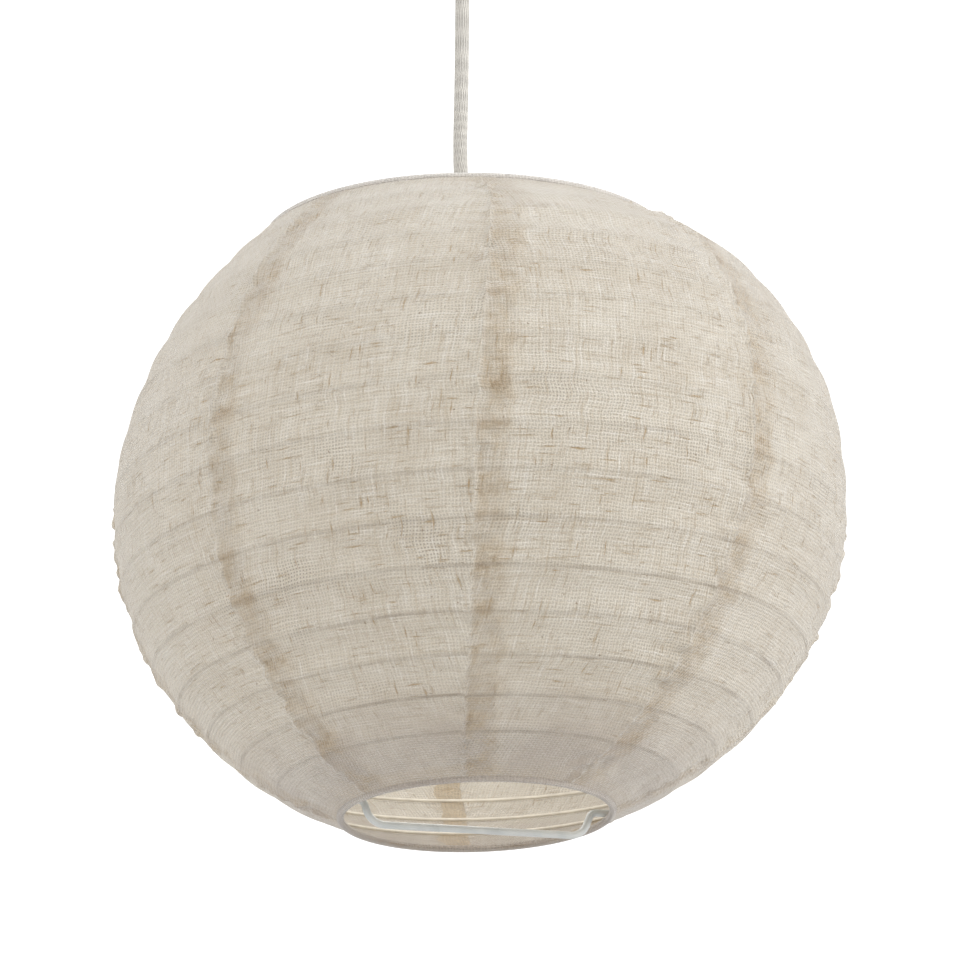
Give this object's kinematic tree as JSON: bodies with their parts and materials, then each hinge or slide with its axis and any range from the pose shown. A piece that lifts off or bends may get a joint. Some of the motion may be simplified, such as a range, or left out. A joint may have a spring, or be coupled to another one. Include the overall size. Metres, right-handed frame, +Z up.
{
  "type": "pendant lantern",
  "caption": "Round pendant lantern of sewn linen gauze over loose wire hoops, spread by a wire frame, on a textile cord with ceiling cup.",
  "frame": {"origin": "middle of the ceiling face, on top of the ceiling strap; the lamp hangs below it", "axes": "+Z up out of the ceiling face; X along the spreader's bar and the ceiling strap"},
  "size_m": [0.3504, 0.3504, 0.4988],
  "materials": {
    "linen": "matte",
    "cord_textile": "matte",
    "frame_white": "satin",
    "hoop_coat": "satin",
    "cup_white": "satin",
    "zinc_steel": "satin",
    "brass": "satin",
    "white_plastic": "matte",
    "gloss_white": "gloss",
    "opal_glass": "satin"
  },
  "bodies": {
    "ceiling": {"ceiling_bracket": "zinc_steel", "cord_clamp": "white_plastic", "clamp_screws": "zinc_steel", "terminal_block": "white_plastic", "terminal_screws": "brass", "lead_wires": "white_plastic", "cord_tail": "cord_textile", "canopy_cup": "cup_white", "cup_screws": "zinc_steel", "cup_bush": "white_plastic"},
    "pendant": {"cord": "cord_textile", "cord_grip": "white_plastic", "holder_cap": "white_plastic", "holder_body": "white_plastic", "holder_insert": "white_plastic", "centre_contact": "brass", "side_contact": "brass", "spreader_frame": "frame_white", "holder_loop": "frame_white", "top_ring": "hoop_coat", "top_hem": "linen", "gore_1": "linen", "gore_2": "linen", "gore_3": "linen", "gore_4": "linen", "gore_5": "linen", "gore_6": "linen", "gore_7": "linen", "gore_8": "linen"},
    "clamp_nut": {"shade_ring": "white_plastic"},
    "bulb": {"bulb_cap": "zinc_steel", "bulb_tip": "brass", "bulb_neck": "gloss_white", "bulb_globe": "opal_glass"},
    "bottom_rim": {"bottom_ring": "hoop_coat", "bottom_hem": "linen"},
    "hoop_01": {"hoop_01": "hoop_coat"},
    "hoop_02": {"hoop_02": "hoop_coat"},
    "hoop_03": {"hoop_03": "hoop_coat"},
    "hoop_04": {"hoop_04": "hoop_coat"},
    "hoop_05": {"hoop_05": "hoop_coat"},
    "hoop_06": {"hoop_06": "hoop_coat"},
    "hoop_07": {"hoop_07": "hoop_coat"},
    "hoop_08": {"hoop_08": "hoop_coat"},
    "hoop_09": {"hoop_09": "hoop_coat"},
    "hoop_10": {"hoop_10": "hoop_coat"},
    "hoop_11": {"hoop_11": "hoop_coat"},
    "hoop_12": {"hoop_12": "hoop_coat"},
    "hoop_13": {"hoop_13": "hoop_coat"},
    "hoop_14": {"hoop_14": "hoop_coat"},
    "hoop_15": {"hoop_15": "hoop_coat"}
  },
  "joints": [
    {"name": "pendant_swing", "type": "hinge", "parent": "ceiling", "child": "pendant", "pos_m": [0, 0, -0.048], "axis": [1, 0, 0], "range_deg": [-15, 15]},
    {"name": "bulb_turn", "type": "hinge", "parent": "pendant", "child": "bulb", "pos_m": [-0.0046, 0, -0.24], "axis": [0, 0, -1], "range_deg": [0, 1440]},
    {"name": "shade_ring_turn", "type": "hinge", "parent": "pendant", "child": "clamp_nut", "pos_m": [-0.0046, 0, -0.22], "axis": [0, 0, -1], "range_deg": [0, 1080]},
    {"name": "shade_fold", "type": "slide", "parent": "pendant", "child": "bottom_rim", "axis": [0, 0, 1], "range_m": [0, 0.2296], "deforming": ["gore_1", "gore_2", "gore_3", "gore_4", "gore_5", "gore_6", "gore_7", "gore_8"]},
    {"name": "hoop_01_slide", "type": "slide", "parent": "pendant", "child": "hoop_01", "axis": [0, 0, 1], "range_m": [0, 0.21754]},
    {"name": "hoop_02_slide", "type": "slide", "parent": "pendant", "child": "hoop_02", "axis": [0, 0, 1], "range_m": [0, 0.2081]},
    {"name": "hoop_03_slide", "type": "slide", "parent": "pendant", "child": "hoop_03", "axis": [0, 0, 1], "range_m": [0, 0.19697]},
    {"name": "hoop_04_slide", "type": "slide", "parent": "pendant", "child": "hoop_04", "axis": [0, 0, 1], "range_m": [0, 0.18428]},
    {"name": "hoop_05_slide", "type": "slide", "parent": "pendant", "child": "hoop_05", "axis": [0, 0, 1], "range_m": [0, 0.17019]},
    {"name": "hoop_06_slide", "type": "slide", "parent": "pendant", "child": "hoop_06", "axis": [0, 0, 1], "range_m": [0, 0.15493]},
    {"name": "hoop_07_slide", "type": "slide", "parent": "pendant", "child": "hoop_07", "axis": [0, 0, 1], "range_m": [0, 0.13876]},
    {"name": "hoop_08_slide", "type": "slide", "parent": "pendant", "child": "hoop_08", "axis": [0, 0, 1], "range_m": [0, 0.122]},
    {"name": "hoop_09_slide", "type": "slide", "parent": "pendant", "child": "hoop_09", "axis": [0, 0, 1], "range_m": [0, 0.10498]},
    {"name": "hoop_10_slide", "type": "slide", "parent": "pendant", "child": "hoop_10", "axis": [0, 0, 1], "range_m": [0, 0.08805]},
    {"name": "hoop_11_slide", "type": "slide", "parent": "pendant", "child": "hoop_11", "axis": [0, 0, 1], "range_m": [0, 0.07154]},
    {"name": "hoop_12_slide", "type": "slide", "parent": "pendant", "child": "hoop_12", "axis": [0, 0, 1], "range_m": [0, 0.05573]},
    {"name": "hoop_13_slide", "type": "slide", "parent": "pendant", "child": "hoop_13", "axis": [0, 0, 1], "range_m": [0, 0.04092]},
    {"name": "hoop_14_slide", "type": "slide", "parent": "pendant", "child": "hoop_14", "axis": [0, 0, 1], "range_m": [0, 0.02732]},
    {"name": "hoop_15_slide", "type": "slide", "parent": "pendant", "child": "hoop_15", "axis": [0, 0, 1], "range_m": [0, 0.01514]}
  ],
  "couplings": [
    {"joint": "hoop_01_slide", "follows": "shade_fold", "ratio": 0.94743},
    {"joint": "hoop_02_slide", "follows": "shade_fold", "ratio": 0.90631},
    {"joint": "hoop_03_slide", "follows": "shade_fold", "ratio": 0.85783},
    {"joint": "hoop_04_slide", "follows": "shade_fold", "ratio": 0.80256},
    {"joint": "hoop_05_slide", "follows": "shade_fold", "ratio": 0.74122},
    {"joint": "hoop_06_slide", "follows": "shade_fold", "ratio": 0.67475},
    {"joint": "hoop_07_slide", "follows": "shade_fold", "ratio": 0.60432},
    {"joint": "hoop_08_slide", "follows": "shade_fold", "ratio": 0.5313},
    {"joint": "hoop_09_slide", "follows": "shade_fold", "ratio": 0.45718},
    {"joint": "hoop_10_slide", "follows": "shade_fold", "ratio": 0.38346},
    {"joint": "hoop_11_slide", "follows": "shade_fold", "ratio": 0.31153},
    {"joint": "hoop_12_slide", "follows": "shade_fold", "ratio": 0.2427},
    {"joint": "hoop_13_slide", "follows": "shade_fold", "ratio": 0.17816},
    {"joint": "hoop_14_slide", "follows": "shade_fold", "ratio": 0.11893},
    {"joint": "hoop_15_slide", "follows": "shade_fold", "ratio": 0.0659}
  ]
}
